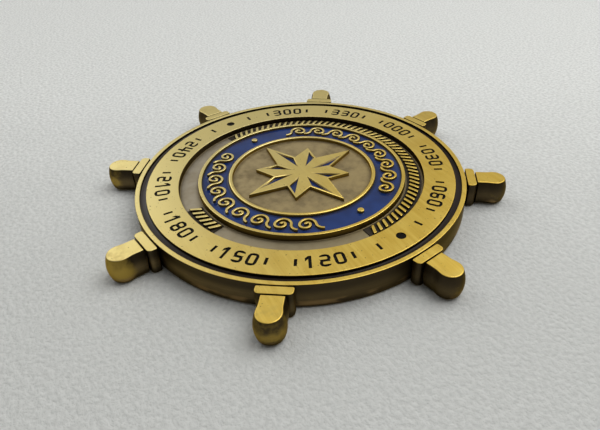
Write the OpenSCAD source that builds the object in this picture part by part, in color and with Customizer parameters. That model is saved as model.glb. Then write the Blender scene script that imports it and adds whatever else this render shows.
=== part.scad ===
// Ship's-wheel coin: one casting with eight handles, filled with blue and black enamel.
// Millimetres. The back rests on z = 0, +Z leaves the face and +Y is the top of the design.

/* [Disc] */
// Diameter of the disc over its rim
disc_d = 50.8; // [46:0.2:60]
// Thickness of the coin
coin_t = 4; // [3.2:0.1:4.6]
// Break of the sanded edges of rim, band and rings
edge_break = 0.12; // [0.05:0.01:0.2]
// Chamfer of the back edge of the disc
back_break = 0.45; // [0.1:0.05:0.5]

/* [Border] */
// Width of the rim
rim_w = 0.7; // [0.5:0.05:1.2]
// Width of the enamelled groove inside the rim
groove_w = 0.9; // [0.5:0.05:1.4]
// Depth of the groove
groove_depth = 0.7; // [0.4:0.05:1]
// Thickness of the black enamel in the groove
groove_fill = 0.15; // [0.05:0.05:0.3]
// Width of the sanded band
band_w = 4.75; // [4:0.05:6]
// Width of the moat between band and medallion
moat_w = 2.9; // [2.4:0.05:3.6]
// Depth of the moat in the face
moat_depth = 1; // [0.6:0.05:1.3]
// Depth of the plain recess in the back
back_depth = 0.5; // [0.2:0.05:0.8]

/* [Medallion] */
// Width of the outer raised ring
outer_ring_w = 0.55; // [0.4:0.05:1]
// Width of the blue enamel ring
enamel_w = 4.05; // [3.5:0.05:4.6]
// Width of the inner raised ring
inner_ring_w = 0.65; // [0.4:0.05:1.2]
// Depth of the cells that hold blue enamel
cell_depth = 0.8; // [0.5:0.05:1]
// Drop from the raised metal to the blue enamel
enamel_drop = 0.45; // [0.1:0.05:0.45]
// Depth of the matt field in the middle
field_depth = 0.6; // [0.3:0.05:1]

/* [Handles] */
// Number of handles round the rim
handle_count = 8; // [6:1:10]
// Reach of a handle beyond the rim
handle_reach = 6.4; // [6:0.05:9]
// Radius of the handle's round end, on the faces of the coin
grip_r = 1.6; // [1.5:0.02:2]
// Half width of the handle between its collar and its round end
neck_r = 1.46; // [1.3:0.02:1.7]
// How much fuller the sides of the handle are halfway up than on the faces
side_bulge = 0.42; // [0.1:0.02:0.6]
// Half width of the collar
collar_r = 2.4; // [2.2:0.02:2.8]
// Length of the collar
collar_len = 1.3; // [0.9:0.05:1.8]
// Rounding of the collar's outer corners
collar_round = 0.6; // [0.2:0.05:0.7]
// Rounding of the collar's inner corners
collar_inner_round = 0.2; // [0.1:0.05:0.3]
// Width of the dark line on each side of the collar
quirk_w = 0.2; // [0.2:0.02:0.5]
// Radius of the shank that runs under the lines
shank_r = 1.3; // [1:0.05:1.55]

/* [Bearing scale] */
// Angle from one bearing number to the next
bearing_step = 30; // [30:15:45]
// Number of ticks between two bearing numbers
tick_count = 2; // [1:1:2]
// Height of a numeral
numeral_h = 2.3; // [1.9:0.1:2.8]
// Width of a numeral
numeral_w = 1.5; // [1.3:0.05:1.7]
// Space between two numerals
numeral_gap = 0.42; // [0.3:0.02:0.5]
// Stroke of the engraved marks
stroke_w = 0.42; // [0.3:0.01:0.44]
// Rounding of a numeral's corners
numeral_round = 0.55; // [0.48:0.01:0.6]
// Length of a tick
tick_len = 1.3; // [0.8:0.1:2.2]
// Diameter of the dots that part the two rows
dot_d = 1.4; // [0.6:0.05:1.4]
// Depth of the engraving
mark_depth = 0.35; // [0.2:0.05:0.6]
// Drop from the band to the paint in its marks
mark_drop = 0.1; // [0.05:0.01:0.15]

/* [Wave scroll] */
// Angle that one row of waves spans
wave_span = 130; // [90:5:140]
// Length of one wave along the ring
wave_pitch = 3.42; // [3.3:0.02:4.4]
// Radius of a wave's crest
crest_r = 1.15; // [1.1:0.01:1.2]
// Step of the radius from one turn of the curl to the next
curl_step = 0.4; // [0.38:0.01:0.42]
// Radius of the tail that sweeps up into a wave
tail_r = 1.05; // [0.8:0.05:1.1]
// Width of the raised line
line_w = 0.38; // [0.3:0.02:0.42]
// Diameter of the two studs that part the rows
stud_d = 1; // [0.6:0.05:1.6]

/* [Rope] */
// Half angle of the upper rope
rope_half_upper = 97.5; // [60:0.5:110]
// Half angle of the lower rope
rope_half_lower = 10.5; // [8:0.5:30]
// Length of rope that one strand takes up
strand_pitch = 1.07; // [1:0.01:1.5]
// Radial width of the rope
rope_w = 1.55; // [1:0.05:1.8]
// Width of a strand along the rope
strand_w = 0.5; // [0.35:0.01:0.6]
// Lean of a strand along the rope, from its inner end to its outer end
strand_lean = 0.7; // [0.2:0.05:1]
// Height of the strands over the moat's floor
strand_rise = 0.5; // [0.25:0.05:0.55]
// Width of dark pad that shows round the rope
pad_edge = 0.35; // [0.2:0.05:0.4]
// Thickness of the paint on the pads
pad_paint = 0.12; // [0.05:0.01:0.2]

/* [Compass rose] */
// Gap between the long points and the inner ring
rose_gap = 0.9; // [0.4:0.1:2]
// Step back from the long points to the short ones
rose_step = 2.6; // [1:0.1:3.5]
// Radius at which neighbouring points meet
rose_waist_r = 4.6; // [3.6:0.1:5]
// Width of the raised walls round the blue cells
cell_wall = 0.32; // [0.22:0.02:0.5]

/* [Hidden] */
$fn = 96;
ROOT_SINK = 0.2;
CUT = 1;
SLACK = 0.1;
NUMERAL_ARC = 45;
SECTOR_ANGLE = 45;
COLLAR_ARC = 15;
ROSE_POINTS = 8;
EAST = 0;
NORTH = 90;
WEST = 180;
SOUTH = 270;

rim_r = disc_d / 2;
groove_r = rim_r - rim_w;
band_r = groove_r - groove_w;
moat_r = band_r - band_w;
ring_r = moat_r - moat_w;
enamel_r = ring_r - outer_ring_w;
inner_ring_r = enamel_r - enamel_w;
field_r = inner_ring_r - inner_ring_w;

cell_z = coin_t - cell_depth;
field_z = coin_t - field_depth;
moat_z = coin_t - moat_depth;
groove_z = coin_t - groove_depth;

collar_x = rim_r + quirk_w;
grip_x = collar_x + collar_len + quirk_w;
nose_x = rim_r + handle_reach - grip_r - side_bulge;

mark_r = (moat_r + band_r) / 2;
numeral_angle = arc_angle(numeral_w + numeral_gap, mark_r);
tick_step = bearing_step / (tick_count + 1);
wave_r = (inner_ring_r + enamel_r) / 2;
wave_angle = arc_angle(wave_pitch, wave_r);
rope_r = (ring_r + moat_r) / 2;
strand_angle = arc_angle(strand_pitch, rope_r);

long_point = field_r - rose_gap;
short_point = long_point - rose_step;

BRASS = "#b89a4a";
BLUE = "#1c2f7a";
BLACK = "#1b1917";

// Angle that an arc of the given length takes up at radius r
function arc_angle(length, r) = length / r * 180 / PI;

// Points of a rectangle with round corners, centred on the origin
function round_corners(w, h, r) = [
    for (corner = [0:3], a = [0:NUMERAL_ARC:90])
        let (side_x = (corner == 0 || corner == 3) ? 1 : -1, side_y = corner < 2 ? 1 : -1)
        [side_x * (w / 2 - r), side_y * (h / 2 - r)] + r * [cos(corner * 90 + a), sin(corner * 90 + a)]
];

// Section of a ring that stands up to the top of the face, from its inner foot to its outer foot
function ridge(r_in, r_out, foot_in, foot_out) = [
    [r_in, foot_in], [r_in, coin_t - edge_break], [r_in + edge_break, coin_t],
    [r_out - edge_break, coin_t], [r_out, coin_t - edge_break], [r_out, foot_out]
];

// Triangle drawn in by the same distance from each of its sides
function inset_triangle(t, d) =
    let (
        a = norm(t[1] - t[2]), b = norm(t[2] - t[0]), c = norm(t[0] - t[1]),
        middle = (a * t[0] + b * t[1] + c * t[2]) / (a + b + c),
        s = (a + b + c) / 2,
        inner_r = sqrt((s - a) * (s - b) * (s - c) / s)
    ) [for (p = t) middle + (p - middle) * (1 - d / inner_r)];

module annulus(r_in, r_out) {
    difference() {
        circle(r_out);
        circle(r_in);
    }
}

// Part of an annulus, half_angle to each side of the direction middle
module annulus_sector(r_in, r_out, middle, half_angle) {
    reach = 2 * r_out;
    parts = ceil(half_angle / SECTOR_ANGLE);
    difference() {
        intersection() {
            circle(r_out);
            rotate(middle)
                polygon(concat([[0, 0]], [
                    for (i = [-parts:parts])
                        let (a = i * half_angle / parts)
                        reach * [cos(a), sin(a)]
                ]));
        }
        circle(r_in);
    }
}

// Half of a ring drawn with the raised line: side 1 is the half above the x axis, -1 the half below
module half_ring(x, r, side) {
    translate([x, 0])
        intersection() {
            annulus(r - line_w / 2, r + line_w / 2);
            translate([-2 * r, side > 0 ? 0 : -2 * r])
                square([4 * r, 2 * r]);
        }
}

// Closed loop of the numeral stroke, as wide as a numeral and h high
module numeral_loop(h) {
    difference() {
        polygon(round_corners(numeral_w, h, numeral_round));
        polygon(round_corners(numeral_w - 2 * stroke_w, h - 2 * stroke_w, numeral_round - stroke_w));
    }
}

// Figure eight from which the round numerals are cut
module numeral_eight() {
    bowl_h = (numeral_h + stroke_w) / 2;
    for (side = [-1, 1])
        translate([0, side * (numeral_h - bowl_h) / 2])
            numeral_loop(bowl_h);
}

// Gap in one side stroke of a figure eight: side -1 is left and 1 right, level -1 is low and 1 high
module stroke_gap(side, level) {
    gap_h = (numeral_h - 3 * stroke_w) / 2;
    translate([side * (numeral_w - stroke_w) / 2, level * (gap_h + stroke_w) / 2])
        square([stroke_w + SLACK, gap_h], center = true);
}

module numeral(n) {
    if (n == 0) numeral_loop(numeral_h);
    if (n == 1) {
        flag_w = stroke_w;
        flag_t = stroke_w * sqrt(2);
        square([stroke_w, numeral_h], center = true);
        translate([-stroke_w / 2, numeral_h / 2])
            polygon([[0, 0], [-flag_w, -flag_w], [-flag_w, -flag_w - flag_t], [0, -flag_t]]);
    }
    if (n == 2) difference() { numeral_eight(); stroke_gap(-1, 1); stroke_gap(1, -1); }
    if (n == 3) difference() { numeral_eight(); stroke_gap(-1, 1); stroke_gap(-1, -1); }
    if (n == 4) {
        translate([numeral_w / 2 - stroke_w, 0])
            square([stroke_w, numeral_h], center = true);
        translate([-(numeral_w - stroke_w) / 2, numeral_h / 4])
            square([stroke_w, numeral_h / 2], center = true);
        translate([0, -stroke_w / 2])
            square([numeral_w, stroke_w], center = true);
    }
    if (n == 5) difference() { numeral_eight(); stroke_gap(1, 1); stroke_gap(-1, -1); }
    if (n == 6) difference() { numeral_eight(); stroke_gap(1, 1); }
    if (n == 8) numeral_eight();
}

// Three-figure bearing, read from the bottom of the coin: side 1 has its head outwards, -1 inwards
module bearing(value, side) {
    figures = [floor(value / 100) % 10, floor(value / 10) % 10, value % 10];
    for (i = [-1:1])
        rotate(-value + (side < 0 ? 180 : 0) - side * i * numeral_angle)
            translate([0, side * mark_r])
                numeral(figures[i + 1]);
}

// Engraved row on one half of the band: side 1 is the upper half, -1 the lower
module bearing_row(side) {
    limit = floor((90 - tick_step / 2) / bearing_step) * bearing_step;
    start = side > 0 ? 0 : 180;
    for (turn = [-limit:bearing_step:limit])
        bearing((start + turn + 360) % 360, side);
    last_tick = floor((90 - tick_step / 2) / tick_step) * tick_step;
    for (turn = [-last_tick:tick_step:last_tick])
        if (round(turn / tick_step) % (tick_count + 1) != 0)
            rotate(-start - turn)
                translate([0, mark_r])
                    square([stroke_w, tick_len], center = true);
}

module band_dot(direction) {
    rotate(direction)
        translate([mark_r, 0])
            circle(d = dot_d);
}

// One curling wave that runs to the right, with its crest away from the coin's centre
module wave() {
    turn_1 = crest_r;
    turn_2 = crest_r - curl_step;
    turn_3 = turn_2 - curl_step;
    half_ring(0, turn_1, 1);
    half_ring(turn_1 - turn_2, turn_2, -1);
    half_ring(turn_1 - 2 * turn_2 + turn_3, turn_3, 1);
    translate([-crest_r - tail_r, 0])
        intersection() {
            annulus(tail_r - line_w / 2, tail_r + line_w / 2);
            translate([0, -2 * tail_r])
                square(2 * tail_r);
        }
}

// Row of waves on one half of the blue ring: side 1 is the upper half, -1 the lower
module wave_row(side) {
    count = floor(wave_span / wave_angle);
    for (i = [0:count - 1])
        rotate((side < 0 ? 180 : 0) + (i - (count - 1) / 2) * wave_angle)
            translate([tail_r / 2, wave_r + side * (tail_r - crest_r) / 2])
                mirror([0, side < 0 ? 1 : 0])
                    wave();
}

module ring_studs() {
    for (direction = [EAST, WEST])
        rotate(direction)
            translate([wave_r, 0])
                circle(d = stud_d);
}

module ring_ornament() {
    wave_row(1);
    wave_row(-1);
    ring_studs();
}

// Slanted strands of a rope round the direction middle
module rope_strands(middle, half_angle) {
    count = floor(2 * half_angle / strand_angle);
    for (i = [0:count - 1])
        rotate(middle - 90 + (i - (count - 1) / 2) * strand_angle)
            translate([0, rope_r])
                polygon([
                    [-(strand_w + strand_lean) / 2, -rope_w / 2], [(strand_w - strand_lean) / 2, -rope_w / 2],
                    [(strand_w + strand_lean) / 2, rope_w / 2], [(strand_lean - strand_w) / 2, rope_w / 2]
                ]);
}

module rope_pad(middle, half_angle) {
    difference() {
        annulus_sector(rope_r - rope_w / 2 - pad_edge, rope_r + rope_w / 2 + pad_edge, middle, half_angle);
        rope_strands(middle, half_angle);
    }
}

// Corners of half a rose point, from the centre to the tip and the waist clockwise of it
function half_point(k) =
    let (
        step = 360 / ROSE_POINTS, a = k * step, reach = k % 2 == 0 ? long_point : short_point,
        waist = a - step / 2
    ) [[0, 0], reach * [cos(a), sin(a)], rose_waist_r * [cos(waist), sin(waist)]];

module rose_outline() {
    step = 360 / ROSE_POINTS;
    polygon([
        for (k = [0:ROSE_POINTS - 1], half = [0, 1])
            half == 0 ? half_point(k)[1] : rose_waist_r * [cos((k + 0.5) * step), sin((k + 0.5) * step)]
    ]);
}

module rose_cell(k) {
    polygon(inset_triangle(half_point(k), cell_wall));
}

// Disc with all its round steps, front and back
module disc() {
    rotate_extrude()
        polygon(concat(
            [[0, field_z]],
            ridge(field_r, inner_ring_r, field_z, cell_z),
            ridge(enamel_r, ring_r, cell_z, moat_z),
            ridge(moat_r, band_r, moat_z, groove_z),
            ridge(groove_r, rim_r, groove_z, back_break),
            [
                [rim_r - back_break, 0], [groove_r, 0], [groove_r, groove_depth], [band_r, groove_depth],
                [band_r, 0], [moat_r, 0], [moat_r, back_depth], [ring_r, back_depth], [ring_r, 0], [0, 0]
            ]
        ));
}

// Section across a handle, of the given half width on the two faces and fuller between them
module side_section(half_w) {
    arc_r = (coin_t * coin_t / 4 + side_bulge * side_bulge) / (2 * side_bulge);
    shift = arc_r - half_w - side_bulge;
    intersection() {
        translate([shift, coin_t / 2])
            circle(arc_r);
        translate([-shift, coin_t / 2])
            circle(arc_r);
        translate([-arc_r, 0])
            square([2 * arc_r, coin_t]);
    }
}

// Corner of the collar's plan, turned by start, with its round centred on middle
function collar_corner(middle, r, start) = [
    for (a = [start:COLLAR_ARC:start + 90]) middle + r * [cos(a), sin(a)]
];

module collar_plan() {
    outer = [collar_len, collar_r] - collar_round * [1, 1];
    inner = [collar_inner_round, collar_r - collar_inner_round];
    polygon(concat(
        collar_corner(outer, collar_round, 0),
        collar_corner(inner, collar_inner_round, 90),
        collar_corner([inner[0], -inner[1]], collar_inner_round, 180),
        collar_corner([outer[0], -outer[1]], collar_round, 270)
    ));
}

// Handle along +X: shank, collar, and a grip with a round end
module handle() {
    translate([rim_r - rim_w / 2, 0, coin_t / 2])
        rotate([0, 90, 0])
            cylinder(h = grip_x + quirk_w - rim_r + rim_w / 2, r = shank_r);
    translate([collar_x, 0, 0])
        linear_extrude(coin_t)
            collar_plan();
    translate([grip_x, 0, 0])
        rotate([90, 0, 90])
            linear_extrude(nose_x - grip_x)
                side_section(neck_r);
    translate([nose_x, 0, 0])
        rotate_extrude()
            intersection() {
                side_section(grip_r);
                square([2 * grip_r, coin_t]);
            }
}

module engraving() {
    bearing_row(1);
    bearing_row(-1);
    band_dot(EAST);
    band_dot(WEST);
}

module wheel_casting() {
    color(BRASS) {
        difference() {
            union() {
                disc();
                for (k = [0:handle_count - 1])
                    rotate(k * 360 / handle_count)
                        handle();
            }
            translate([0, 0, coin_t - mark_depth])
                linear_extrude(mark_depth + CUT)
                    engraving();
        }
        translate([0, 0, cell_z - ROOT_SINK])
            linear_extrude(cell_depth + ROOT_SINK)
                ring_ornament();
        translate([0, 0, moat_z - ROOT_SINK])
            linear_extrude(strand_rise + ROOT_SINK) {
                rope_strands(NORTH, rope_half_upper);
                rope_strands(SOUTH, rope_half_lower);
            }
        difference() {
            translate([0, 0, field_z - ROOT_SINK])
                linear_extrude(field_depth + ROOT_SINK)
                    rose_outline();
            translate([0, 0, cell_z])
                linear_extrude(cell_depth + CUT)
                    for (k = [0:ROSE_POINTS - 1])
                        rose_cell(k);
        }
    }
}

module ring_enamel() {
    color(BLUE)
        translate([0, 0, cell_z])
            linear_extrude(cell_depth - enamel_drop)
                difference() {
                    annulus(inner_ring_r, enamel_r);
                    ring_ornament();
                }
}

module groove_enamel() {
    color(BLACK)
        translate([0, 0, groove_z])
            linear_extrude(groove_fill)
                annulus(band_r, groove_r);
}

module rose_enamel(k) {
    color(BLUE)
        translate([0, 0, cell_z])
            linear_extrude(cell_depth - enamel_drop)
                rose_cell(k);
}

module bearing_paint(side) {
    color(BLACK)
        translate([0, 0, coin_t - mark_depth])
            linear_extrude(mark_depth - mark_drop)
                bearing_row(side);
}

module dot_paint(direction) {
    color(BLACK)
        translate([0, 0, coin_t - mark_depth])
            linear_extrude(mark_depth - mark_drop)
                band_dot(direction);
}

module rope_paint(middle, half_angle) {
    color(BLACK)
        translate([0, 0, moat_z])
            linear_extrude(pad_paint)
                rope_pad(middle, half_angle);
}

wheel_casting();
ring_enamel();
groove_enamel();
rose_enamel(0);  // rose_enamel_east
rose_enamel(1);  // rose_enamel_northeast
rose_enamel(2);  // rose_enamel_north
rose_enamel(3);  // rose_enamel_northwest
rose_enamel(4);  // rose_enamel_west
rose_enamel(5);  // rose_enamel_southwest
rose_enamel(6);  // rose_enamel_south
rose_enamel(7);  // rose_enamel_southeast
bearing_paint(1);  // bearing_paint_upper
bearing_paint(-1);  // bearing_paint_lower
dot_paint(EAST);  // east_dot_paint
dot_paint(WEST);  // west_dot_paint
rope_paint(NORTH, rope_half_upper);  // rope_paint_upper
rope_paint(SOUTH, rope_half_lower);  // rope_paint_lower
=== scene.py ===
"""Ship's-wheel coin: a sanded antique brass casting with eight handles, filled with blue and black enamel."""
import math

import bmesh
import bpy
from mathutils import Matrix, Vector


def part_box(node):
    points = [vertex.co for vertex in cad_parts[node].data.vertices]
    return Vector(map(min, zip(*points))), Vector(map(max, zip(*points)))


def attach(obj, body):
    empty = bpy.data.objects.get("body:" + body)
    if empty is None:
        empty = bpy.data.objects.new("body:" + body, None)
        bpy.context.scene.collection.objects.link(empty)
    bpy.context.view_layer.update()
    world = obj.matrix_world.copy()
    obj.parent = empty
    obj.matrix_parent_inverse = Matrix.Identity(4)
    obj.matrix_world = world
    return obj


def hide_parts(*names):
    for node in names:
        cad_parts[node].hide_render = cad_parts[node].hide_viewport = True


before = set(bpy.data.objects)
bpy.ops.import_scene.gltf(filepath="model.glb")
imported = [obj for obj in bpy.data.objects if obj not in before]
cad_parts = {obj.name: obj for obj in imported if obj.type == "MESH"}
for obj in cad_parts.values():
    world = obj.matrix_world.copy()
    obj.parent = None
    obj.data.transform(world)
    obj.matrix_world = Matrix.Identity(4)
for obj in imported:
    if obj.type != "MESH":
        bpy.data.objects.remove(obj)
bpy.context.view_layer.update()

# Sizes of the coin in metres, from the frame where a node shows them, and the steps of its shapes
MM = 0.001
CASTING_LOW, CASTING_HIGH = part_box("wheel_casting")
BLUE_LOW, BLUE_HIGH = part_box("ring_enamel")
GROOVE_LOW, GROOVE_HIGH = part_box("groove_enamel")
PAD_LOW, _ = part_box("rope_paint_upper")
_, DOT_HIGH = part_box("east_dot_paint")

TOP = CASTING_HIGH.z
BACK = CASTING_LOW.z
TIP_R = CASTING_HIGH.x
CELL_FLOOR = BLUE_LOW.z
BLUE_TOP = BLUE_HIGH.z
GROOVE_FLOOR = GROOVE_LOW.z
BLACK_TOP = GROOVE_HIGH.z
MOAT_FLOOR = PAD_LOW.z
FIELD_DEPTH = 0.6 * MM
FIELD_FLOOR = TOP - FIELD_DEPTH

RIM_W = 0.7 * MM
GROOVE_W = 0.9 * MM
BAND_W = 4.75 * MM
MOAT_W = 2.9 * MM
OUTER_RING_W = 0.55 * MM
BLUE_W = 4.05 * MM
INNER_RING_W = 0.65 * MM

GROOVE_R = GROOVE_HIGH.x
RIM_R = GROOVE_R + RIM_W
BAND_R = GROOVE_R - GROOVE_W
MOAT_R = BAND_R - BAND_W
RING_R = MOAT_R - MOAT_W
BLUE_R = RING_R - OUTER_RING_W
INNER_RING_R = BLUE_R - BLUE_W
FIELD_R = INNER_RING_R - INNER_RING_W
BACK_GROOVE = TOP - GROOVE_FLOOR
BACK_MOAT = 0.5 * MM
HUB_R = 1.5 * MM

DISC_SIDES = 288
EDGE_BREAK = 0.1 * MM
RING_ROUND = 0.22 * MM
BACK_BREAK = 0.45 * MM
WEAR_BREAK = 0.08 * MM
BREAK_SEGMENTS = 3
ROUND_SEGMENTS = 4
WEAR_SEGMENTS = 2
SINK = 0.15 * MM
MERGE = 0.0005 * MM
TOUCH = 0.002 * MM
SMOOTH_ANGLE = math.radians(35)
SHARP_ANGLE = math.radians(60)
FLAT_ANGLE = math.radians(1)

HANDLE_COUNT = 8
HANDLE_SIDES = 64
HANDLE_SLICES = 12
HANDLE_CORNER = 0.1 * MM
END_BREAK = 0.08 * MM
END_REACH = 0.2 * MM
QUIRK_W = 0.2 * MM
COLLAR_LEN = 1.3 * MM
COLLAR_R = 2.4 * MM
COLLAR_ROUND = 0.6 * MM
COLLAR_STEPS = 6
COLLAR_INNER_ROUND = 0.2 * MM
COLLAR_INNER_STEPS = 3
SHANK_R = 1.3 * MM
NECK_R = 1.46 * MM
NECK_STEPS = 2
GRIP_R = 1.6 * MM
SIDE_BULGE = 0.42 * MM
FLARE_LEN = 1.2 * MM
FLARE_STEPS = 8
NOSE_STEPS = 16
NOSE_GAP = 0.01 * MM

WAVE_R = (INNER_RING_R + BLUE_R) / 2
WAVE_SPAN = math.radians(130)
WAVE_PITCH = 3.42 * MM
CREST_R = 1.15 * MM
CURL_STEP = 0.4 * MM
TAIL_R = 1.05 * MM
LINE_W = 0.38 * MM
STUD_R = 0.5 * MM
STUD_SIDES = 32
ARC_STEPS = 12

ROPE_R = (RING_R + MOAT_R) / 2
UPPER_ROPE = (math.radians(90), math.radians(97.5))
LOWER_ROPE = (math.radians(270), math.radians(10.5))
STRAND_PITCH = 1.07 * MM
ROPE_W = 1.55 * MM
STRAND_W = 0.5 * MM
STRAND_LEAN = 0.7 * MM
STRAND_RISE = 0.5 * MM
STRAND_TOP = MOAT_FLOOR + STRAND_RISE

BLUE_SIDES = 720
BLUE_STEPS = 40
CREEP = 0.3 * MM
CREEP_RISE = 0.07 * MM
GROOVE_SAG = 0.13 * MM
SAG_POWER = 4
SAG_LEVEL = 0.3
OVERLAP = 0.05 * MM
GROOVE_STEPS = 8
CELL_CREEP = 0.14 * MM
CELL_DROP = 0.05 * MM
CELL_FALLS = (0.8, 0.4, 0.2)

ROSE_NAMES = ["east", "northeast", "north", "northwest", "west", "southwest", "south", "southeast"]
POINT_GAP = 0.9 * MM
POINT_STEP = 2.6 * MM
LONG_POINT = FIELD_R - POINT_GAP
SHORT_POINT = LONG_POINT - POINT_STEP
ROSE_WAIST = 4.6 * MM
CELL_WALL = 0.32 * MM

# Finishes: linear colours
BRASS_TINT = (0.85, 0.7, 0.42, 1)
OXIDE_DARK = (0.054, 0.04, 0.022, 1)
# The lighter oxide brown is a painted reflection band on the walls; the rubbed gold is wear together with
# painted reflection
OXIDE_PAINTED_SHEEN = (0.195, 0.141, 0.063, 1)
RUBBED_GOLD_AND_REFLECTION = (0.42, 0.29, 0.06, 1)
RUBBED_FOOT = (0.4, 0.26, 0.11, 1)
# The pale moat, field and gold tones below are painted light on the left side
MOAT_DEEP = (0.335, 0.28, 0.165, 1)
MOAT_PAINTED_LIGHT = (0.42, 0.375, 0.295, 1)
FIELD_DEEP = (0.4, 0.31, 0.15, 1)
FIELD_PAINTED_LIGHT = (0.43, 0.35, 0.2, 1)
MOTTLE_BROWN = (0.23, 0.18, 0.1, 1)
# The corner brown is oxide in the hollows with painted shade
CORNER_OXIDE_AND_SHADE = (0.09, 0.068, 0.036, 1)
GOLD_DEEP = (0.75, 0.5, 0.078, 1)
GOLD_SHEEN = (0.87, 0.63, 0.13, 1)
GOLD_PAINTED_LIGHT = (0.82, 0.695, 0.3, 1)
TARNISH_BROWN = (0.44, 0.32, 0.1, 1)
PIT_BROWN = (0.16, 0.11, 0.04, 1)
BLUE_DEEP = (0.006, 0.022, 0.105, 1)
BLUE_CLEAR = (0.012, 0.042, 0.185, 1)
# The darkest blue is painted shade along the rings
BLUE_PAINTED_SHADE = (0.003, 0.009, 0.042, 1)
BLACK_DEEP = (0.02, 0.013, 0.009, 1)
BLACK_BROWN = (0.036, 0.025, 0.017, 1)
MARK_DEEP = (0.004, 0.0035, 0.003, 1)
MARK_BROWN = (0.013, 0.011, 0.008, 1)
PAD_DEEP = (0.02, 0.015, 0.01, 1)
PAD_BROWN = (0.05, 0.038, 0.024, 1)
# The near and far cloth tones are painted light, brighter away from the camera
CLOTH_NEAR = (0.69, 0.697, 0.67, 1)
CLOTH_FAR = (0.915, 0.925, 0.895, 1)
CLOTH_NAP = (0.565, 0.575, 0.55, 1)
SKY_FAR = (0.49, 0.49, 0.485, 1)
SKY_NEAR = (0.12, 0.12, 0.12, 1)

# Finishes: scales of the noise, per metre
NOISE_ROUGHNESS = 0.55
CLOUD_SCALE = 260
PATCH_SCALE = 900
PIT_SCALE = 2800
GRIT_SCALE = 9000
BRUSH_SCALE = (160, 2400, 100)
STREAK_SCALE = (300, 300, 3600)
BLUE_CLOUD_SCALE = 220
BLUE_RIPPLE_SCALE = 900
BLACK_CLOUD_SCALE = 500
BLACK_RIPPLE_SCALE = 2500
MARK_CLOUD_SCALE = 1500
PAD_CLOUD_SCALE = 1200
PAD_GRIT_SCALE = 7000
CLOTH_CLOUD_SCALE = 60
CLOTH_NAP_SCALE = 1700

# Finishes: where they change
BRUSH_ANGLE = math.radians(-11)
BRUSH_WAY = (math.cos(BRUSH_ANGLE), math.sin(BRUSH_ANGLE))
BRUSH_CROSS = (-math.sin(BRUSH_ANGLE), math.cos(BRUSH_ANGLE))
# Direction and zone of the painted light that makes the left side paler
LIT_SIDE_WAY = (-0.966, -0.259)
LIT_SIDE_ZONE = (-20 * MM, 18 * MM)
LIT_SIDE_WAVER = 6 * MM
HAZE_ZONE = (-5 * MM, 24 * MM)
SAND_ZONE = (0.03 * MM, 0.1 * MM)
SAND_WAVER = 0.04 * MM
MOAT_ZONE = (RING_R + 0.1 * MM, RING_R + 0.2 * MM, MOAT_R - 0.2 * MM, MOAT_R - 0.1 * MM)
FIELD_EDGE_ZONE = (FIELD_R - 0.9 * MM, FIELD_R, FIELD_R, FIELD_R + 0.1 * MM)
RING_FOOT_W = 0.7 * MM
BAND_FOOT_W = 0.6 * MM
# Wear with painted reflection round one place, painted shade low on the handle ends, and a painted reflection
# band at mid-height of the walls
WEAR_AND_REFLECTION_PLACE = (0, -32 * MM)
WEAR_AND_REFLECTION_ZONE = (3 * MM, 44 * MM)
NOSE_ZONE = (TIP_R - 4.0 * MM, TIP_R - 1.5 * MM)
LOW_SHADE_ZONE = (0.1 * MM, 1.5 * MM)
WALL_SHEEN_ZONE = (0.5 * MM, 1.5 * MM, 1.7 * MM, 3.2 * MM)
FOOT_ZONE = (0.3 * MM, 0.7 * MM, 0.9 * MM, 1.5 * MM)
WALL_ZONE = (RIM_R, RIM_R + 0.2 * MM)
SHOULDER_ZONE = (TOP - 1.1 * MM, TOP - 0.1 * MM)
EDGE_ZONE = (MOAT_R - 0.3 * MM, MOAT_R)
# Bands of painted shade on the blue along the two rings
INNER_SHADE_ZONE = (0.1 * MM, 0.6 * MM)
OUTER_SHADE_ZONE = (0.1 * MM, 0.4 * MM)
# Span of the painted light that brightens the cloth further away
CLOTH_ZONE = (-40 * MM, 50 * MM)
CLOTH_WAVER = 30 * MM

# Sizes and places of the floor, the light and the camera
FLOOR_SIZE = 8
FLOOR_GAP = 0.02 * MM
AWAY = (-0.767, 0.642, 0)
SKY_BLEND = 0.25
# Power, size and place of each lamp, which faces the coin
LAMPS = {
    "window": (0.32, 0.38, (-0.314, -0.115, 0.372)),
    "fill": (1.15, 0.38, (0.089, 0.192, 0.397)),
    "low": (0.14, 0.25, (-0.457, 0, 0.203)),
}
SENSOR_W = 36
CAMERA_LENS = 31.288
CAMERA_SHIFT = (-0.0546, -0.007)
CAMERA_TURN = math.radians(50.076)
CAMERA_PLACE = (0.186 * RIM_R, -2.7535 * RIM_R, 1.7302 * RIM_R)
CAMERA_TILT = math.radians(90 - 36.567)
CAMERA_ROLL = math.radians(-0.808)


# Modelling helpers
def deselect():
    """Object mode, with nothing selected."""
    if bpy.context.object and bpy.context.object.mode != "OBJECT":
        bpy.ops.object.mode_set(mode="OBJECT")
    bpy.ops.object.select_all(action="DESELECT")


def pick(piece, *others):
    """Select these pieces alone, with the first one active."""
    deselect()
    for each in (piece, *others):
        each.select_set(True)
    bpy.context.view_layer.objects.active = piece
    return piece


def edit(piece, mode="EDGE"):
    """Enter edit mode on one piece with everything deselected."""
    pick(piece)
    bpy.ops.object.mode_set(mode="EDIT")
    bpy.ops.mesh.select_mode(type=mode)
    bpy.ops.mesh.select_all(action="DESELECT")


def leave():
    bpy.ops.object.mode_set(mode="OBJECT")


def select_parts(piece, kind, wanted):
    """In edit mode, select the vertices, edges or faces that are wanted."""
    mesh = bmesh.from_edit_mesh(piece.data)
    for part in getattr(mesh, kind):
        part.select_set(wanted(part))
    mesh.select_flush_mode()
    bmesh.update_edit_mesh(piece.data)


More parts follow.
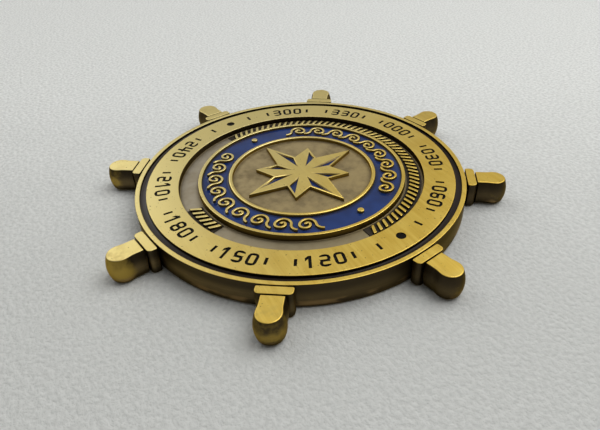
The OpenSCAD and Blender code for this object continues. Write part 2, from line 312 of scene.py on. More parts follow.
def select_where(piece, kind, wanted):
    """In edit mode, select the vertices, edges or faces all of whose corners are at wanted places."""
    def corners(part):
        return [part] if kind == "verts" else part.verts

    select_parts(piece, kind, lambda part: all(wanted(corner.co) for corner in corners(part)))


def near(value, target):
    return abs(value - target) < TOUCH


def rename(piece, name):
    piece.name = name
    piece.data.name = name
    return piece


def name_new(name):
    """Name the piece that was just added, and apply its transform."""
    bpy.ops.object.transform_apply(location=True, rotation=True, scale=True)
    return rename(bpy.context.object, name)


def clean(piece):
    """Merge doubles and turn the faces outwards."""
    edit(piece, "VERT")
    bpy.ops.mesh.select_all(action="SELECT")
    bpy.ops.mesh.remove_doubles(threshold=MERGE)
    bpy.ops.mesh.normals_make_consistent(inside=False)
    leave()
    return piece


def turned(name, section, sides):
    """Lathe work about Z: a circle is extruded from ring to ring of a section of (radius, height) points."""
    deselect()
    radius, height = section[0]
    bpy.ops.mesh.primitive_circle_add(vertices=sides, radius=radius, location=(0, 0, height))
    piece = name_new(name)
    bpy.ops.object.mode_set(mode="EDIT")
    bpy.ops.mesh.select_mode(type="EDGE")
    bpy.ops.mesh.select_all(action="SELECT")
    for next_radius, next_height in section[1:]:
        bpy.ops.mesh.extrude_edges_move(TRANSFORM_OT_translate={"value": (0, 0, next_height - height)})
        grow = next_radius / radius
        bpy.ops.transform.resize(value=(grow, grow, 1), center_override=(0, 0, 0))
        radius, height = next_radius, next_height
    leave()
    return piece


def close_ends(piece):
    """Fill the open rims of a piece."""
    edit(piece)
    bpy.ops.mesh.select_all(action="SELECT")
    bpy.ops.mesh.fill_holes(sides=0)
    leave()
    return clean(piece)


def copied(piece, name, place):
    """A copy with its own mesh, moved by a matrix that is applied at once."""
    pick(piece)
    bpy.ops.object.duplicate(linked=False)
    bpy.context.object.matrix_world = place
    copy = name_new(name)
    if place.determinant() < 0:
        clean(copy)
    return copy


def joined(name, pieces):
    pick(*pieces)
    bpy.ops.object.join()
    return rename(bpy.context.object, name)


def discard(piece):
    pick(piece)
    bpy.ops.object.delete()


def combine(piece, tool, operation):
    """Boolean of a piece with a tool, which is used up."""
    pick(piece)
    step = piece.modifiers.new("combine", "BOOLEAN")
    step.operation = operation
    step.solver = "MANIFOLD"
    step.object = tool
    bpy.ops.object.modifier_apply(modifier=step.name)
    discard(tool)
    return piece


def smooth(piece, flats=()):
    """Smooth shading that stops at sharp corners and round the flats at these heights."""
    pick(piece)
    bpy.ops.object.shade_smooth_by_angle(angle=SMOOTH_ANGLE)
    edit(piece)
    select_where(piece, "edges", lambda p: any(near(p.z, flat) for flat in flats))
    bpy.ops.mesh.mark_sharp()
    leave()
    return piece


def turn_z(angle):
    return Matrix.Rotation(angle, 4, "Z")


def from_frame(node, name):
    """A merged copy of a solid of the frame."""
    deselect()
    piece = bpy.data.objects.new(name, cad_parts[node].data.copy())
    bpy.context.scene.collection.objects.link(piece)
    return clean(piece)


# Pieces of the casting
def make_disc():
    """Disc with its rim, groove, band, moat and rings, front and back."""
    disc = turned("casting", [
        (HUB_R, FIELD_FLOOR), (FIELD_R, FIELD_FLOOR), (FIELD_R, TOP),
        (INNER_RING_R, TOP), (INNER_RING_R, CELL_FLOOR),
        (BLUE_R, CELL_FLOOR), (BLUE_R, TOP), (RING_R, TOP), (RING_R, MOAT_FLOOR),
        (MOAT_R, MOAT_FLOOR), (MOAT_R, TOP), (BAND_R, TOP), (BAND_R, GROOVE_FLOOR),
        (GROOVE_R, GROOVE_FLOOR), (GROOVE_R, TOP), (RIM_R, TOP), (RIM_R, BACK),
        (GROOVE_R, BACK), (GROOVE_R, BACK_GROOVE), (BAND_R, BACK_GROOVE), (BAND_R, BACK),
        (MOAT_R, BACK), (MOAT_R, BACK_MOAT), (RING_R, BACK_MOAT), (RING_R, BACK), (HUB_R, BACK),
    ], DISC_SIDES)
    close_ends(disc)
    edit(disc)
    select_where(disc, "edges", lambda p: near(p.z, BACK) and near(p.xy.length, RIM_R))
    bpy.ops.mesh.bevel(offset=BACK_BREAK, segments=ROUND_SEGMENTS, affect="EDGES")
    for ring_r in (FIELD_R, INNER_RING_R):
        select_where(disc, "edges", lambda p: near(p.z, TOP) and near(p.xy.length, ring_r))
        bpy.ops.mesh.bevel(offset=RING_ROUND, segments=ROUND_SEGMENTS, affect="EDGES")
    bpy.ops.mesh.select_all(action="DESELECT")
    bpy.ops.mesh.edges_select_sharp(sharpness=SHARP_ANGLE)
    bpy.ops.mesh.bevel(offset=EDGE_BREAK, segments=BREAK_SEGMENTS, affect="EDGES")
    leave()
    return disc


def quarter(steps):
    """Angles from 0 to a right angle."""
    return [i * math.pi / 2 / steps for i in range(steps + 1)]


def half_width(half, bulge, height):
    """Half width of a handle at a height off its middle: fullest there, with worn corners at the faces."""
    share = height / (TOP / 2)
    corner = HANDLE_CORNER if height > 0 else BACK_BREAK
    return half + bulge * (1 - share ** 2) - corner_step(corner, height)


def corner_step(radius, height):
    """How far a worn corner stands back at a height off the middle of the coin."""
    over = max(0, abs(height) - TOP / 2 + radius)
    return radius - math.sqrt(max(0, radius ** 2 - over ** 2))


def make_flatted(name, stations, bulge=0, nose=False):
    """Part of a handle along X, between the two faces of the coin.

    Its plan is drawn on the back, then raised slice by slice, and at each slice every station of
    (place, half width) takes the width that the section has there. A nose is a round end past the last.
    """
    upper = [math.sin(a) * TOP / 2 for a in quarter(HANDLE_SLICES)]
    heights = [-height for height in upper[:0:-1]] + upper
    first_x, last_x = stations[0][0], stations[-1][0]

    def place(x, height):
        """Where a station stands at a height: near a plain end it draws back with the worn edge."""
        draw = max(0, 1 - (x - first_x) / END_REACH)
        if not nose:
            draw -= max(0, 1 - (last_x - x) / END_REACH)
        return x + draw * corner_step(END_BREAK, height)

    low = heights[0]
    plan = [(place(x, low), half_width(half, bulge, low)) for x, half in stations]
    if nose:
        nose_x, nose_r = plan[-1]
        turns = quarter(NOSE_STEPS)[1:-1]
        plan += [(nose_x + nose_r * math.sin(a), nose_r * math.cos(a)) for a in turns]
        plan.append((nose_x + nose_r, MERGE))
    (x, width), (next_x, next_width) = plan[:2]
    deselect()
    bpy.ops.mesh.primitive_plane_add(size=1, location=((x + next_x) / 2, 0, BACK))
    bpy.context.object.scale = (next_x - x, 2 * width, 1)
    piece = name_new(name)
    edit(piece)
    select_where(piece, "edges", lambda p: near(p.x, next_x))
    bpy.ops.transform.resize(value=(1, next_width / width, 1), center_override=(0, 0, 0))
    x, width = next_x, next_width
    for next_x, next_width in plan[2:]:
        bpy.ops.mesh.extrude_edges_move(TRANSFORM_OT_translate={"value": (next_x - x, 0, 0)})
        bpy.ops.transform.resize(value=(1, next_width / width, 1), center_override=(0, 0, 0))
        x, width = next_x, next_width
    if nose:
        bpy.ops.mesh.merge(type="CENTER")
    bpy.ops.mesh.select_mode(type="VERT")
    for height, next_height in zip(heights, heights[1:]):
        level = TOP / 2 + next_height
        select_where(piece, "verts", lambda p: near(p.z, TOP / 2 + height))
        bpy.ops.mesh.extrude_region_move(TRANSFORM_OT_translate={"value": (0, 0, next_height - height)})
        for x, half in stations:
            now, after = place(x, height), place(x, next_height)
            select_where(piece, "verts", lambda p: near(p.z, level) and near(p.x, now))
            grow = half_width(half, bulge, next_height) / half_width(half, bulge, height)
            bpy.ops.transform.resize(value=(1, grow, 1), center_override=(0, 0, 0))
            if after != now:
                bpy.ops.transform.translate(value=(after - now, 0, 0))
        if nose:
            select_where(piece, "verts", lambda p: near(p.z, level) and p.x > last_x + NOSE_GAP)
            bpy.ops.transform.resize(value=(grow, grow, 1), center_override=(last_x, 0, 0))
    leave()
    return clean(piece)


def round_in(x, half, radius, steps):
    """Stations of a part of a handle that starts here with rounded corners."""
    return [(x + radius * (1 - math.cos(a)), half - radius * (1 - math.sin(a))) for a in quarter(steps)]


def round_out(x, half, radius, steps):
    """Stations of a part of a handle that ends here with rounded corners."""
    return [(x - radius * (1 - math.sin(a)), half - radius * (1 - math.cos(a))) for a in quarter(steps)]


def make_handle():
    """Handle along X: shank, collar, and a grip that flares to a round end."""
    collar_x = RIM_R + QUIRK_W
    collar_end = collar_x + COLLAR_LEN
    grip_x = collar_end + QUIRK_W
    nose_x = TIP_R - GRIP_R - SIDE_BULGE
    flare_x = nose_x - FLARE_LEN
    shank_x = RIM_R - RIM_W / 2
    deselect()
    bpy.ops.mesh.primitive_cylinder_add(
        vertices=HANDLE_SIDES, radius=SHANK_R, depth=grip_x + QUIRK_W - shank_x, rotation=(0, math.pi / 2, 0),
        location=((grip_x + QUIRK_W + shank_x) / 2, 0, TOP / 2))
    handle = name_new("handle")
    stations = round_in(collar_x, COLLAR_R, COLLAR_INNER_ROUND, COLLAR_INNER_STEPS)
    stations += round_out(collar_end, COLLAR_R, COLLAR_ROUND, COLLAR_STEPS)
    combine(handle, make_flatted("collar", stations), "UNION")
    stations = round_in(grip_x, NECK_R, EDGE_BREAK, NECK_STEPS)
    for i in range(FLARE_STEPS + 1):
        part = i / FLARE_STEPS
        swell = part * part * (3 - 2 * part)
        stations.append((flare_x + FLARE_LEN * part, NECK_R + (GRIP_R - NECK_R) * swell))
    combine(handle, make_flatted("grip", stations, SIDE_BULGE, nose=True), "UNION")
    return handle


def make_wave():
    """One curling wave that runs to the right: a small section is spun along the tail and the three turns."""
    height = TOP - CELL_FLOOR + SINK
    deselect()
    bpy.ops.mesh.primitive_plane_add(size=1)
    wave = bpy.context.object
    wave.matrix_world = (
        Matrix.Translation((-CREST_R - TAIL_R, -TAIL_R, CELL_FLOOR - SINK + height / 2))
        @ Matrix.Rotation(math.pi / 2, 4, "Y") @ Matrix.Diagonal((height, LINE_W, 1, 1)))
    name_new("wave")
    edit(wave, "VERT")
    select_where(wave, "verts", lambda p: near(p.z, TOP))
    bpy.ops.mesh.bevel(offset=WEAR_BREAK, segments=WEAR_SEGMENTS, affect="VERTICES")
    bpy.ops.mesh.select_all(action="SELECT")
    second = CREST_R - CURL_STEP
    third = second - CURL_STEP
    for centre, sweep in (
        (-CREST_R - TAIL_R, -math.pi / 2),
        (0, math.pi),
        (CREST_R - second, math.pi),
        (CREST_R - 2 * second + third, math.pi),
    ):
        steps = round(ARC_STEPS * abs(sweep) / (math.pi / 2))
        bpy.ops.mesh.spin(steps=steps, angle=sweep, center=(centre, 0, 0), axis=(0, 0, 1))
    leave()
    return clean(wave)


def make_stud():
    """One round stud of the blue ring, at the east."""
    deselect()
    depth = TOP - CELL_FLOOR + SINK
    bpy.ops.mesh.primitive_cylinder_add(
        vertices=STUD_SIDES, radius=STUD_R, depth=depth, location=(WAVE_R, 0, TOP - depth / 2))
    stud = name_new("stud")
    edit(stud)
    select_where(stud, "edges", lambda p: near(p.z, TOP))
    bpy.ops.mesh.bevel(offset=EDGE_BREAK, segments=BREAK_SEGMENTS, affect="EDGES")
    leave()
    return stud


def make_ring_ornament():
    """Two rows of waves and the two studs that part them."""
    wave = make_wave()
    stud = make_stud()
    step = WAVE_PITCH / WAVE_R
    count = math.floor(WAVE_SPAN / step)
    pieces = []
    for side in (1, -1):
        for i in range(count):
            turn = (i - (count - 1) / 2) * step + (0 if side > 0 else math.pi)
            place = Matrix.Translation((TAIL_R / 2, WAVE_R + side * (TAIL_R - CREST_R) / 2, 0))
            flip = Matrix.Diagonal((1, side, 1, 1))
            pieces.append(copied(wave, "wave_copy", turn_z(turn) @ place @ flip))
    pieces.append(copied(stud, "stud_copy", turn_z(0)))
    pieces.append(copied(stud, "stud_copy", turn_z(math.pi)))
    discard(wave)
    discard(stud)
    return joined("ring_ornament", pieces)


def make_strand():
    """One slanted strand of the rope, at the north of the moat."""
    height = STRAND_RISE + SINK
    deselect()
    bpy.ops.mesh.primitive_cube_add(
        size=1, location=(0, ROPE_R, STRAND_TOP - height / 2), scale=(STRAND_W, ROPE_W, height))
    strand = name_new("strand")
    edit(strand, "VERT")
    for side in (-1, 1):
        select_where(strand, "verts", lambda p: (p.y - ROPE_R) * side > 0)
        bpy.ops.transform.translate(value=(side * STRAND_LEAN / 2, 0, 0))
    bpy.ops.mesh.select_mode(type="EDGE")
    select_where(strand, "edges", lambda p: near(p.z, STRAND_TOP))
    bpy.ops.mesh.bevel(offset=WEAR_BREAK, segments=BREAK_SEGMENTS, affect="EDGES")
    leave()
    return clean(strand)


def make_ropes():
    """The strands on the two pads of the moat."""
    strand = make_strand()
    step = STRAND_PITCH / ROPE_R
    pieces = []
    for middle, half_angle in (UPPER_ROPE, LOWER_ROPE):
        count = math.floor(2 * half_angle / step)
        for i in range(count):
            turn = middle - math.pi / 2 + (i - (count - 1) / 2) * step
            pieces.append(copied(strand, "strand_copy", turn_z(turn)))
    discard(strand)
    return joined("ropes", pieces)


def make_rose():
    """Compass rose: a fan of sixteen triangles, of which the clockwise halves are let in as cells."""
    points = len(ROSE_NAMES)
    deselect()
    bpy.ops.mesh.primitive_circle_add(
        vertices=2 * points, radius=ROSE_WAIST, fill_type="TRIFAN", location=(0, 0, TOP))
    rose = name_new("rose")
    edit(rose, "VERT")
    step = math.pi / points

    def spoke(p):
        return round(math.atan2(p.y, p.x) / step) % (2 * points)

    def clockwise_half(face):
        middle = face.calc_center_median()
        return math.floor(math.atan2(middle.y, middle.x) / step) % 2 == 1

    for place, reach in ((0, LONG_POINT), (2, SHORT_POINT)):
        select_where(rose, "verts", lambda p: p.xy.length > MM and spoke(p) % 4 == place)
        grow = reach / ROSE_WAIST
        bpy.ops.transform.resize(value=(grow, grow, 1), center_override=(0, 0, 0))
    bpy.ops.mesh.select_mode(type="FACE")
    select_parts(rose, "faces", clockwise_half)
    bpy.ops.mesh.inset(thickness=CELL_WALL, use_individual=True, use_even_offset=True)
    bpy.ops.mesh.extrude_region_move(TRANSFORM_OT_translate={"value": (0, 0, CELL_FLOOR - TOP)})
    bpy.ops.mesh.select_mode(type="EDGE")
    select_parts(rose, "edges", lambda edge: edge.is_boundary)
    bpy.ops.mesh.extrude_edges_move(TRANSFORM_OT_translate={"value": (0, 0, CELL_FLOOR - SINK - TOP)})
    leave()
    close_ends(rose)
    edit(rose)
    bpy.ops.mesh.edges_select_sharp(sharpness=SHARP_ANGLE)
    select_parts(rose, "edges", lambda edge: edge.select and all(near(v.co.z, TOP) for v in edge.verts))
    bpy.ops.mesh.bevel(offset=WEAR_BREAK, segments=WEAR_SEGMENTS, affect="EDGES")
    leave()
    return clean(rose)


def make_engraving():
    """Cutter for the bearing scale: the paint of the marks, raised through the top of the band."""
    nodes = ["bearing_paint_upper", "bearing_paint_lower", "east_dot_paint", "west_dot_paint"]
    cutter = joined("engraving", [from_frame(node, "mark_cutter") for node in nodes])
    edit(cutter, "VERT")
    select_where(cutter, "verts", lambda p: near(p.z, DOT_HIGH.z))
    bpy.ops.transform.translate(value=(0, 0, TOP - DOT_HIGH.z + MM))
    leave()
    return cutter


def make_casting():
    """The whole casting: disc, handles and ornament in one piece, with the scale cut into its band."""
    casting = make_disc()
    handle = make_handle()
    turns = [i * math.tau / HANDLE_COUNT for i in range(HANDLE_COUNT)]
    handles = [copied(handle, "handle_copy", turn_z(turn)) for turn in turns]
    discard(handle)
    combine(casting, joined("handles", handles), "UNION")
    combine(casting, make_ring_ornament(), "UNION")
    combine(casting, make_ropes(), "UNION")
    combine(casting, make_rose(), "UNION")
    combine(casting, make_engraving(), "DIFFERENCE")
    return smooth(casting, (TOP, STRAND_TOP, FIELD_FLOOR, CELL_FLOOR, GROOVE_FLOOR, MOAT_FLOOR, BACK))


# Pieces of enamel
def fit_into(pool, casting):
    """Cut a pool of enamel to fit the casting."""
    combine(pool, copied(casting, "mould", Matrix.Identity(4)), "DIFFERENCE")
    return smooth(pool)


def climb(pool, casting):
    """Let a pool of enamel creep up the metal that it touches, then fit it into the casting."""
    pick(pool)
    group = pool.vertex_groups.new(name="creep")
    group.add(range(len(pool.data.vertices)), 1, "REPLACE")
    close = pool.modifiers.new("close", "VERTEX_WEIGHT_PROXIMITY")
    close.vertex_group = group.name
    close.proximity_mode = "GEOMETRY"
    close.proximity_geometry = {"FACE"}
    close.target = casting
    close.min_dist = CREEP
    close.max_dist = 0
    close.falloff_type = "SHARP"
    lift = pool.modifiers.new("lift", "DISPLACE")
    lift.vertex_group = group.name
    lift.direction = "Z"
    lift.mid_level = 0
    lift.strength = CREEP_RISE
    bpy.ops.object.modifier_apply(modifier=close.name)
    bpy.ops.object.modifier_apply(modifier=lift.name)
    pool.vertex_groups.clear()
    return fit_into(pool, casting)


def make_blue_ring(casting):
    """Blue enamel round the waves and studs of the medallion."""
    low, high = INNER_RING_R - OVERLAP, BLUE_R + OVERLAP
    tops = [low + (high - low) * i / BLUE_STEPS for i in range(BLUE_STEPS + 1)]
    section = [(radius, BLUE_TOP) for radius in tops]
    section += [(high, CELL_FLOOR - OVERLAP), (low, CELL_FLOOR - OVERLAP), (low, BLUE_TOP)]
    ring = clean(turned("blue_ring", section, BLUE_SIDES))
    return climb(ring, casting)


def make_groove_ring(casting):
    """Black enamel whose surface hangs between the two walls of the groove."""
    middle, half = (BAND_R + GROOVE_R) / 2, GROOVE_W / 2 + OVERLAP
    parts = [2 * i / GROOVE_STEPS - 1 for i in range(GROOVE_STEPS + 1)]
    sags = [GROOVE_SAG * (part ** SAG_POWER - SAG_LEVEL) for part in parts]
    section = [(middle + half * part, BLACK_TOP + sag) for part, sag in zip(parts, sags)]
    floor = GROOVE_FLOOR - OVERLAP
    section += [(middle + half, floor), (middle - half, floor), section[0]]
    ring = clean(turned("groove_ring", section, DISC_SIDES))
    return fit_into(ring, casting)


def make_rose_cell(name):
    """One cell of the rose, its enamel drawn up along the walls and hollow in the middle."""
    cell = from_frame("rose_enamel_" + name, "rose_cell_" + name)
    edit(cell, "FACE")
    bpy.ops.mesh.select_all(action="SELECT")
    bpy.ops.mesh.dissolve_limited(angle_limit=FLAT_ANGLE)
    select_where(cell, "faces", lambda p: near(p.z, BLUE_TOP))
    bpy.ops.transform.translate(value=(0, 0, CELL_DROP))
    step = CELL_CREEP / len(CELL_FALLS)
    for share in CELL_FALLS:
        bpy.ops.mesh.inset(thickness=step, depth=-CELL_DROP * share, use_even_offset=True)
    leave()
    return smooth(cell)


# Finishes
class Wire:
    """The value at a shader socket. Sums with numbers or other wires add Math nodes."""

    def __init__(self, finish, node, output):
        self.finish = finish
        self.node = node
        self.socket = node.outputs[output]

    def output(self, name):
        return Wire(self.finish, self.node, name)

    def work(self, operation, *values):
        return self.finish.add("ShaderNodeMath", {"operation": operation}, dict(enumerate(values)))

    def __add__(self, other):
        return self.work("ADD", self, other)

    def __sub__(self, other):
        return self.work("SUBTRACT", self, other)

    def __rsub__(self, other):
        return self.work("SUBTRACT", other, self)

    def __mul__(self, other):
        return self.work("MULTIPLY", self, other)

    def __pow__(self, power):
        return self.work("POWER", self, power)

    __radd__ = __add__
    __rmul__ = __mul__

    def least(self, other):
        return self.work("MINIMUM", self, other)

    def most(self, other):
        return self.work("MAXIMUM", self, other)

    def size(self):
        return self.work("ABSOLUTE", self)


class Painting:
    """Nodes of a material or of the sky."""

    def __init__(self, tree, shader, place):
        self.tree = tree
        self.shader = tree.nodes[shader]
        self.place = self.add("ShaderNodeTexCoord", output=place)

    def add(self, kind, settings=None, sockets=None, output=0):
        """Add a node, with its settings first and then its sockets, and give one of its outputs."""
        node = self.tree.nodes.new(kind)
        for name, value in (settings or {}).items():
            setattr(node, name, value)
        for name, value in (sockets or {}).items():
            self.feed(node.inputs[name], value)
        return Wire(self, node, output)

    def feed(self, socket, value):
        if isinstance(value, Wire):
            self.tree.links.new(value.socket, socket)
        else:
            socket.default_value = value

    def paint(self, **sockets):
        for name, value in sockets.items():
            self.feed(self.shader.inputs[name.replace("_", " ")], value)

    def split(self, vector):
        parts = self.add("ShaderNodeSeparateXYZ", sockets={"Vector": vector})
        return parts, parts.output("Y"), parts.output("Z")

    def rise(self, value, low, high):
        """Smooth step from 0 at low to 1 at high."""
        return self.add("ShaderNodeMapRange", {"interpolation_type": "SMOOTHSTEP"},
                        {"Value": value, "From Min": low, "From Max": high})

    def between(self, value, low, full, ebb, high):
        """Smooth hill: 0 up to low, 1 from full to ebb, and 0 again from high."""
        return self.rise(value, low, full) * (1 - self.rise(value, ebb, high))

    def grain(self, scale, detail=2.0, vector=None):
        """Noise of about 0.5, with this many waves per metre."""
        return self.add("ShaderNodeTexNoise", sockets={
            "Vector": vector or self.place, "Scale": scale, "Detail": detail, "Roughness": NOISE_ROUGHNESS})

    def stretched(self, x, y, z, scales, detail):
        """Noise with a scale of its own along each axis."""
        sides = [side * scale for side, scale in zip((x, y, z), scales)]
        return self.grain(1, detail, self.add("ShaderNodeCombineXYZ", sockets=dict(enumerate(sides))))

    def mix(self, mask, first, second):
        """Colour that goes from the first to the second as the mask goes from 0 to 1."""
        return self.add("ShaderNodeMix", {"data_type": "RGBA"}, {0: mask, 6: first, 7: second}, output=2)

    def bump(self, height, depth, strength=1.0):
        return self.add("ShaderNodeBump", sockets={"Height": height, "Distance": depth, "Strength": strength})


class Finish(Painting):
    """A material that is painted by place on the coin, in metres."""

    def __init__(self, name, **settings):
        self.material = bpy.data.materials.new(name)
        self.material.use_nodes = True
        super().__init__(self.material.node_tree, "Principled BSDF", "Object")
        self.paint(**settings)


def from_axis(x, y):
    """Distance from the axis of the coin."""
    return (x * x + y * y) ** 0.5


def along(way, x, y):
    """How far a point lies in a direction."""
    return x * way[0] + y * way[1]


def brass_finish():
    """Antique brass: sanded bright on the faces, blasted in the recesses, dark oxide on the walls, with
    painted light, painted reflection and painted shade in its colour.
    """
    brass = Finish("antique_brass", Coat_Roughness=0.2, Coat_IOR=1.5, Specular_Tint=BRASS_TINT)
    x, y, z = brass.split(brass.place)
    radius = from_axis(x, y)
    up = brass.split(brass.add("ShaderNodeNewGeometry", output="Normal"))[2]
    facing = up.size()
    depth = (TOP - z).least(z - BACK)

    # Noise, with brush strokes on the faces and level streaks on the walls
    cloud = brass.grain(CLOUD_SCALE)
    patch = brass.grain(PATCH_SCALE, 3)
    grit = brass.grain(GRIT_SCALE)
    brush = brass.stretched(along(BRUSH_WAY, x, y), along(BRUSH_CROSS, x, y), z, BRUSH_SCALE, 5)
    streak = brass.stretched(x, y, z, STREAK_SCALE, 3)

    # Sanded faces and blasted floors
    face = brass.rise(facing, 0.35, 0.8)
    high = 1 - brass.rise(depth + (patch - 0.5) * SAND_WAVER, *SAND_ZONE)
    in_moat = brass.between(radius, *MOAT_ZONE)
    strand = (1 - brass.rise(STRAND_TOP - z, *SAND_ZONE)) * in_moat
    sanded = face * high.most(strand)
    floor = brass.rise(facing, 0.6, 0.9) * (1 - sanded)

    # Wear and painted reflection, strongest on the handles round one place, with painted shade low on the
    # handle ends and a painted reflection band at mid-height of the walls
    worn = 1 - brass.rise(from_axis(x - WEAR_AND_REFLECTION_PLACE[0], y - WEAR_AND_REFLECTION_PLACE[1]), *WEAR_AND_REFLECTION_ZONE)
    nose = brass.rise(radius, *NOSE_ZONE)
    # Band at mid-height of the walls: painted reflection
    wall_sheen = brass.between(z, *WALL_SHEEN_ZONE)
    # Gold on the walls: wear together with painted reflection, strongest on the noses, fading to painted
    # shade at the bottom
    rub_and_reflection = cloud * 0.4 + patch * 0.45 + streak * 0.1 - 0.08 + nose * (worn * 0.48 + 0.08) + wall_sheen * 0.12
    rub_and_reflection = brass.rise(rub_and_reflection, 0.6, 0.98) * brass.rise(z, *LOW_SHADE_ZONE)
    foot = brass.between(z, *FOOT_ZONE) * brass.rise(cloud * 0.7 + streak * 0.3, 0.47, 0.62)
    foot = foot * nose.most(1 - brass.rise(radius, *WALL_ZONE))
    tarnish = nose * brass.rise(cloud * 0.5 + patch * 0.5, 0.42, 0.66) * (worn * 0.5 + 0.2)
    pits = brass.rise(brass.grain(PIT_SCALE, 1), 0.7, 0.78)

    # Painted light that makes the left side paler, mottled floors, corners darkened by oxide and painted
    # shade, and the worn tops of the inner walls
    painted_lit_side = brass.rise(along(LIT_SIDE_WAY, x, y) + (cloud - 0.5) * LIT_SIDE_WAVER, *LIT_SIDE_ZONE)
    mottle = brass.rise(cloud * 0.6 + patch * 0.4, 0.38, 0.72) * (1 - in_moat * 0.5)
    # Darker at the foot of the inner walls: oxide in the hollows with painted shade
    corner = brass.between(radius, *FIELD_EDGE_ZONE)
    corner = corner.most(1 - brass.rise((radius - RING_R).size(), 0, RING_FOOT_W))
    corner = corner.most(1 - brass.rise((radius - MOAT_R).size(), 0, BAND_FOOT_W))
    shoulder = brass.rise(z, *SHOULDER_ZONE) * (1 - brass.rise(radius, RING_R, MOAT_R))
    edge = sanded * brass.rise(radius, *EDGE_ZONE) * (1 - brass.rise(facing, 0.85, 0.99))

    # Walls: dark oxide, lighter in a painted reflection band at mid-height
    oxide = brass.mix(wall_sheen * (streak + 0.5) * (worn * 0.7 + 0.3), OXIDE_DARK, OXIDE_PAINTED_SHEEN)
    wall = brass.mix(rub_and_reflection.most(shoulder * 0.8), oxide, RUBBED_GOLD_AND_REFLECTION)
    wall = brass.mix(foot * 0.8, wall, RUBBED_FOOT)
    # Moat and field paler to the left: painted light
    moat = brass.mix(painted_lit_side, MOAT_DEEP, MOAT_PAINTED_LIGHT)
    field = brass.mix(painted_lit_side, FIELD_DEEP, FIELD_PAINTED_LIGHT)
    blasted = brass.mix(mottle, brass.mix(in_moat, field, moat), MOTTLE_BROWN)
    blasted = brass.mix(corner * 0.45, blasted, CORNER_OXIDE_AND_SHADE)
    gold = brass.mix(brass.rise(cloud * 0.4 + brush * 0.6, 0.3, 0.7), GOLD_DEEP, GOLD_SHEEN)
    # Gold paler to the left: painted light
    bright = brass.mix(painted_lit_side, gold, GOLD_PAINTED_LIGHT)
    bright = brass.mix(tarnish, bright, TARNISH_BROWN)
    bright = brass.mix(pits * 0.7, bright, PIT_BROWN)
    brass.paint(
        Base_Color=brass.mix(sanded, brass.mix(floor, wall, blasted), bright),
        Metallic=1 - floor * 0.15,
        Roughness=sanded * (brush * 0.12 - 0.14) + edge * 0.25 + floor * 0.14 + 0.42 + grit * 0.04,
        Coat_Weight=sanded * 0.25 + 0.03,
        Normal=brass.bump(sanded * brush * 0.35 + (1 - sanded) * grit, 0.012 * MM, 0.5),
    )
    return brass.material


def blue_finish():
    """Glossy blue enamel, darker along the two rings with painted shade."""
    blue = Finish("blue_enamel", Specular_IOR_Level=0.32)
    cloud = blue.grain(BLUE_CLOUD_SCALE)
    ripple = blue.grain(BLUE_RIPPLE_SCALE, 1)
    x, y, _ = blue.split(blue.place)
    radius = from_axis(x, y)
    off_inner = blue.rise(radius - INNER_RING_R, *INNER_SHADE_ZONE)
    off_outer = blue.rise(BLUE_R - radius, *OUTER_SHADE_ZONE)
    # Darker along the two rings: painted shade
    ring_shade = (1 - off_inner * off_outer) * blue.rise(radius, FIELD_R, INNER_RING_R)
    thin = blue.mix(blue.rise(cloud, 0.3, 0.7), BLUE_DEEP, BLUE_CLEAR)
    blue.paint(
        Base_Color=blue.mix(ring_shade * 0.8, thin, BLUE_PAINTED_SHADE),
        Roughness=0.1 + ripple * 0.08,
        Normal=blue.bump(ripple, 0.01 * MM, 0.3),
    )
    return blue.material


def black_finish():
    """Black enamel with a brown tone, and a haze over it to the left."""
    black = Finish("black_enamel", Specular_IOR_Level=0.12, Coat_Roughness=0.4)
    x, y, _ = black.split(black.place)
    haze = black.rise(along(LIT_SIDE_WAY, x, y), *HAZE_ZONE)
    cloud = black.grain(BLACK_CLOUD_SCALE)
    ripple = black.grain(BLACK_RIPPLE_SCALE, 1)
    black.paint(
        Base_Color=black.mix(cloud, BLACK_DEEP, BLACK_BROWN),
        Roughness=0.26 + ripple * 0.14,
        Coat_Weight=haze * 0.75,
        Normal=black.bump(ripple, 0.01 * MM, 0.4),
    )
    return black.material


def mark_finish():
    """Matt black paint of the engraved marks."""
    mark = Finish("mark_paint", Specular_IOR_Level=0.05)
    cloud = mark.grain(MARK_CLOUD_SCALE)
    grit = mark.grain(GRIT_SCALE)
    mark.paint(
        Base_Color=mark.mix(cloud, MARK_DEEP, MARK_BROWN),
        Roughness=0.42 + grit * 0.2,
        Normal=mark.bump(grit, 0.01 * MM, 0.4),
    )
    return mark.material


def pad_finish():
    """Dull dark paint under the rope."""
    pad = Finish("pad_paint", Specular_IOR_Level=0.2)
    cloud = pad.grain(PAD_CLOUD_SCALE)
    grit = pad.grain(PAD_GRIT_SCALE)
    pad.paint(
        Base_Color=pad.mix(cloud, PAD_DEEP, PAD_BROWN),
        Roughness=0.55 + grit * 0.2,
        Normal=pad.bump(grit, 0.02 * MM, 0.5),
    )
    return pad.material


def floor_finish():
    """Pale cloth, made a little brighter further away by painted light."""
    cloth = Finish("floor_cloth", Specular_IOR_Level=0.1)
    cloud = cloth.grain(CLOTH_CLOUD_SCALE)
    nap = cloth.grain(CLOTH_NAP_SCALE, 3)
    x, y, _ = cloth.split(cloth.place)
    # Brighter further away: painted light
    far = cloth.rise(along(AWAY, x, y) + (cloud - 0.5) * CLOTH_WAVER, *CLOTH_ZONE)
    pale = cloth.mix(far, CLOTH_NEAR, CLOTH_FAR)
    cloth.paint(
        Base_Color=cloth.mix(cloth.rise(nap, 0.3, 0.7) * 0.6, pale, CLOTH_NAP),
        Roughness=0.85 + nap * 0.1,
        Normal=cloth.bump(nap, 0.3 * MM, 0.8),
    )
    return cloth.material


def dress(piece, finish):
    """Give a piece one finish all over."""
    piece.data.materials.clear()
    piece.data.materials.append(finish)


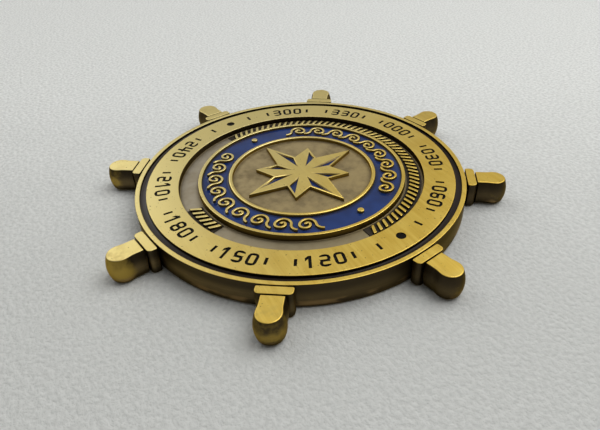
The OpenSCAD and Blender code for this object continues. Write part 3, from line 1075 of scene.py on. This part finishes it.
def add_piece(piece, slot, *nodes):
    """A new piece that stands for these solids and wears the finish of a slot."""
    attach(piece, "root")
    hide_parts(*nodes)
    dress(piece, FINISHES[slot])


# The coin
FINISHES = {
    "antique_brass": brass_finish(),
    "blue_enamel": blue_finish(),
    "black_enamel": black_finish(),
    "mark_paint": mark_finish(),
    "pad_paint": pad_finish(),
}
casting = make_casting()
add_piece(make_blue_ring(casting), "blue_enamel", "ring_enamel")
add_piece(make_groove_ring(casting), "black_enamel", "groove_enamel")
for name in ROSE_NAMES:
    add_piece(make_rose_cell(name), "blue_enamel", "rose_enamel_" + name)
add_piece(casting, "antique_brass", "wheel_casting")
for row in ("upper", "lower"):
    dress(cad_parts["bearing_paint_" + row], FINISHES["mark_paint"])
    dress(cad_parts["rope_paint_" + row], FINISHES["pad_paint"])
for side in ("east", "west"):
    dress(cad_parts[side + "_dot_paint"], FINISHES["mark_paint"])


# Floor, light and camera
deselect()
bpy.ops.mesh.primitive_plane_add(size=FLOOR_SIZE, location=(0, 0, BACK - FLOOR_GAP))
floor = name_new("floor")
dress(floor, floor_finish())

world = bpy.data.worlds.new("studio")
world.use_nodes = True
sky = Painting(world.node_tree, "Background", "Generated")
ahead = sky.add("ShaderNodeVectorMath", {"operation": "DOT_PRODUCT"}, {0: sky.place, 1: AWAY}, output="Value")
sky.paint(Color=sky.mix(sky.rise(ahead, -SKY_BLEND, SKY_BLEND), SKY_NEAR, SKY_FAR))
bpy.context.scene.world = world

for name, (power, size, place) in LAMPS.items():
    light = bpy.data.lights.new(name, "AREA")
    light.shape = "SQUARE"
    light.size = size
    light.energy = power
    lamp = bpy.data.objects.new(name, light)
    bpy.context.scene.collection.objects.link(lamp)
    lamp.location = place
    lamp.rotation_euler = (-Vector(place)).to_track_quat("-Z", "Y").to_euler()

lens = bpy.data.cameras.new("camera")
lens.lens = CAMERA_LENS
lens.sensor_width = SENSOR_W
lens.sensor_fit = "HORIZONTAL"
lens.shift_x, lens.shift_y = CAMERA_SHIFT
lens.clip_start = MM
camera = bpy.data.objects.new("camera", lens)
bpy.context.scene.collection.objects.link(camera)
camera.matrix_world = (
    Matrix.Translation((0, 0, TOP)) @ turn_z(CAMERA_TURN) @ Matrix.Translation(CAMERA_PLACE)
    @ Matrix.Rotation(CAMERA_TILT, 4, "X") @ turn_z(CAMERA_ROLL))
bpy.context.scene.camera = camera

bpy.context.scene.view_settings.view_transform = "Standard"
